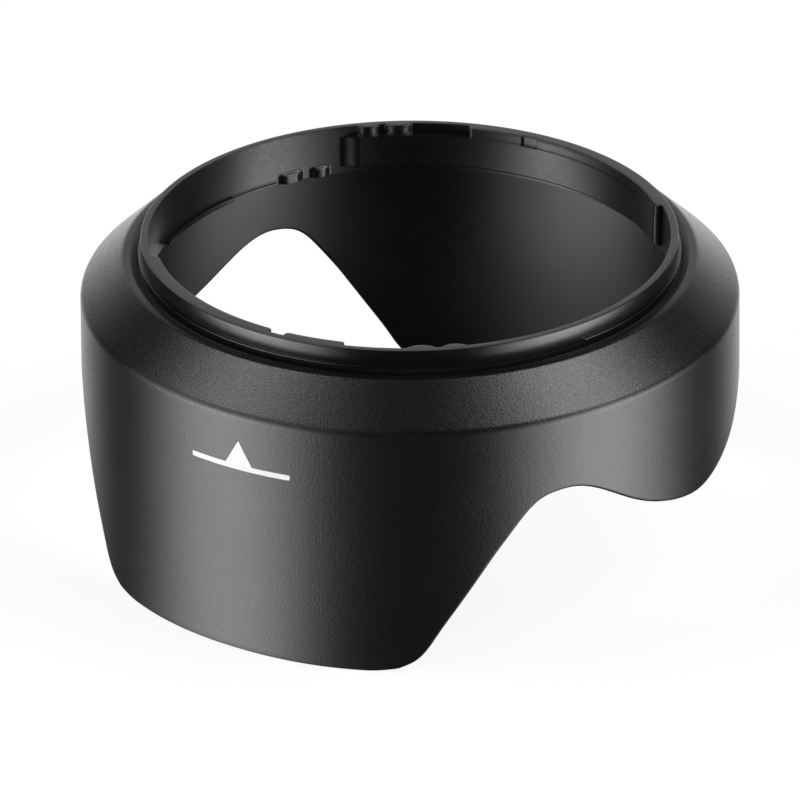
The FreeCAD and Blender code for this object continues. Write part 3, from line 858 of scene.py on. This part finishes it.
def add_disc(name, radius, z, material):
    bm = bmesh.new()
    bmesh.ops.create_circle(bm, cap_ends=True, radius=radius, segments=96)
    mesh = bpy.data.meshes.new(name)
    bm.to_mesh(mesh)
    bm.free()
    disc = link_object(name, mesh)
    disc.location = (0, 0, z)
    mesh.materials.append(material)
    return disc


def build_floor():
    material, _, bsdf = new_material("pale_floor")
    bsdf.inputs["Base Color"].default_value = (0.10, 0.10, 0.10, 1)
    bsdf.inputs["Roughness"].default_value = 0.9
    bsdf.inputs["Emission Color"].default_value = (1, 1, 1, 1)
    bsdf.inputs["Emission Strength"].default_value = 0.90
    floor = add_disc("floor", radius=3.0, z=TIP_Z - 0.00003, material=material)
    # The reflections come from the studio light alone.
    floor.visible_glossy = False
    floor.visible_diffuse = False
    floor.visible_shadow = False


def shaded_floor_material():
    """Dark disc that lets more light through in a patch to the left and to the right."""
    material, tree, bsdf = new_material("shaded_floor")
    bsdf.inputs["Base Color"].default_value = (0.01, 0.01, 0.01, 1)
    bsdf.inputs["Roughness"].default_value = 0.9
    bsdf.inputs["Specular IOR Level"].default_value = 0.0
    axes = tree.nodes.new("ShaderNodeSeparateXYZ")
    tree.links.new(object_coords(tree), axes.inputs[0])
    off_x = maths(tree, "ABSOLUTE", axes.outputs[0])
    aside = map_range(tree, off_x, source=(0.0026, 0.0197), target=(0.0, 1.0),
                      smoothstep=True)
    patch_y = 0.0087
    off_y = maths(tree, "ABSOLUTE", maths(tree, "SUBTRACT", axes.outputs[1], patch_y))
    along = map_range(tree, off_y, source=(0.0, 0.0251), target=(1.0, 0.0), smoothstep=True)
    patch_gain, everywhere = 0.42, 0.15      # shares of the light let through
    patches = maths(tree, "MULTIPLY", aside, along)
    through = maths(tree, "MULTIPLY_ADD", patches, patch_gain, everywhere)
    clear = tree.nodes.new("ShaderNodeBsdfTransparent")
    mixer = tree.nodes.new("ShaderNodeMixShader")
    for k, source in enumerate((through, bsdf.outputs[0], clear.outputs[0])):
        tree.links.new(source, mixer.inputs[k])
    tree.links.new(mixer.outputs[0], tree.nodes["Material Output"].inputs[0])
    return material


def build_shaded_floor():
    """Dims what the inner walls mirror of the floor, which lies in shade inside the hood."""
    disc = add_disc("shaded_floor", radius=0.0385, z=TIP_Z - 0.0006,
                    material=shaded_floor_material())
    disc.visible_camera = False


# Soft boxes of the studio: azimuth (0 at the front, positive to the right), elevation,
# half width, half height, softness sideways, softness upright (all degrees), level.
SOFT_BOXES = [
    (-65, -15, 20, 18, 21, 20, 9.3),       # left, at the height of the skirt
    (67, -16, 20, 18, 21, 20, 9.9),        # right, the same
    (-64, 4, 16, 12, 16, 16, 2.4),
    (66, 9, 14, 11, 16, 16, 5.3),
    (-48, -32, 10, 12, 14, 14, 1.4),       # light from the table, either side
    (50, -32, 10, 12, 14, 14, 1.2),
    (92, -18, 12, 14, 14, 14, 0.7),
    (-80, 25, 14, 14, 16, 16, 2.3),
    (-90, 57, 13, 9, 17, 15, 13.3),        # left, high
    (81, 53, 17, 14, 16, 16, 11.5),        # right, high
    (-50, 44, 12, 16, 16, 21, 2.2),
    (-91, -55, 20, 10, 21, 21, 4.1),       # left, steeply from below
    (180, -5, 36, 33, 23, 22, 1.55),       # back sweep
]
AMBIENT = 0.004


def soft_edge(tree, distance, half, softness):
    return map_range(tree, distance, source=(half - softness, half + softness),
                     target=(1.0, 0.0), smoothstep=True)


def studio_radiance(tree):
    """Light from each direction: the soft boxes over a faint ambient level."""
    coords = tree.nodes.new("ShaderNodeTexCoord")
    axes = tree.nodes.new("ShaderNodeSeparateXYZ")
    tree.links.new(coords.outputs["Generated"], axes.inputs[0])
    to_camera = maths(tree, "MULTIPLY", axes.outputs[1], -1.0)
    azimuth = maths(tree, "ARCTAN2", axes.outputs[0], to_camera)
    azimuth = maths(tree, "MULTIPLY", azimuth, 180.0 / math.pi)
    elevation = maths(tree, "ARCSINE", axes.outputs[2])
    elevation = maths(tree, "MULTIPLY", elevation, 180.0 / math.pi)
    radiance = AMBIENT
    for box_az, box_el, half_w, half_h, soft_w, soft_h, level in SOFT_BOXES:
        aside = maths(tree, "SUBTRACT", azimuth, float(box_az))
        aside = maths(tree, "ABSOLUTE", maths(tree, "WRAP", aside, 180.0, -180.0))
        above = maths(tree, "ABSOLUTE", maths(tree, "SUBTRACT", elevation, float(box_el)))
        lit = maths(tree, "MULTIPLY", soft_edge(tree, aside, half_w, soft_w),
                    soft_edge(tree, above, half_h, soft_h))
        lit = maths(tree, "MULTIPLY", lit, float(level))
        radiance = maths(tree, "ADD", lit, radiance)
    return radiance


def build_world():
    """Plain white to the camera, the studio's soft boxes to everything else."""
    world = bpy.data.worlds.new("studio")
    scene.world = world
    world.use_nodes = True
    tree = world.node_tree
    tree.nodes.clear()
    output = tree.nodes.new("ShaderNodeOutputWorld")
    radiance = studio_radiance(tree)
    studio = tree.nodes.new("ShaderNodeBackground")
    tree.links.new(radiance, studio.inputs["Strength"])
    white = tree.nodes.new("ShaderNodeBackground")
    white.inputs["Color"].default_value = (1, 1, 1, 1)
    white.inputs["Strength"].default_value = 1.0
    light_path = tree.nodes.new("ShaderNodeLightPath")
    mixer = tree.nodes.new("ShaderNodeMixShader")
    sources = (light_path.outputs["Is Camera Ray"], studio.outputs[0], white.outputs[0])
    for k, source in enumerate(sources):
        tree.links.new(source, mixer.inputs[k])
    tree.links.new(mixer.outputs[0], output.inputs[0])


CAMERA_PLACE = (0.0, -0.52102708, 0.24748522)
CAMERA_RIGHT = Vector((0.99997011, -0.00151329, -0.00758279))
CAMERA_DOWN = Vector((-0.00743038, -0.45942854, -0.88818366))
CAMERA_FORWARD = Vector((-0.00213967, 0.88821345, -0.45942604))


def build_camera():
    lens = bpy.data.cameras.new("camera")
    camera = link_object("camera", lens)
    lens.sensor_width = 36.0
    lens.lens = 225.0
    lens.clip_start = 0.01
    lens.clip_end = 50.0
    turn = Matrix((CAMERA_RIGHT, -CAMERA_DOWN, -CAMERA_FORWARD)).transposed()
    camera.matrix_world = Matrix.Translation(CAMERA_PLACE) @ turn.to_4x4()
    scene.camera = camera


build_floor()
build_shaded_floor()
build_world()
build_camera()
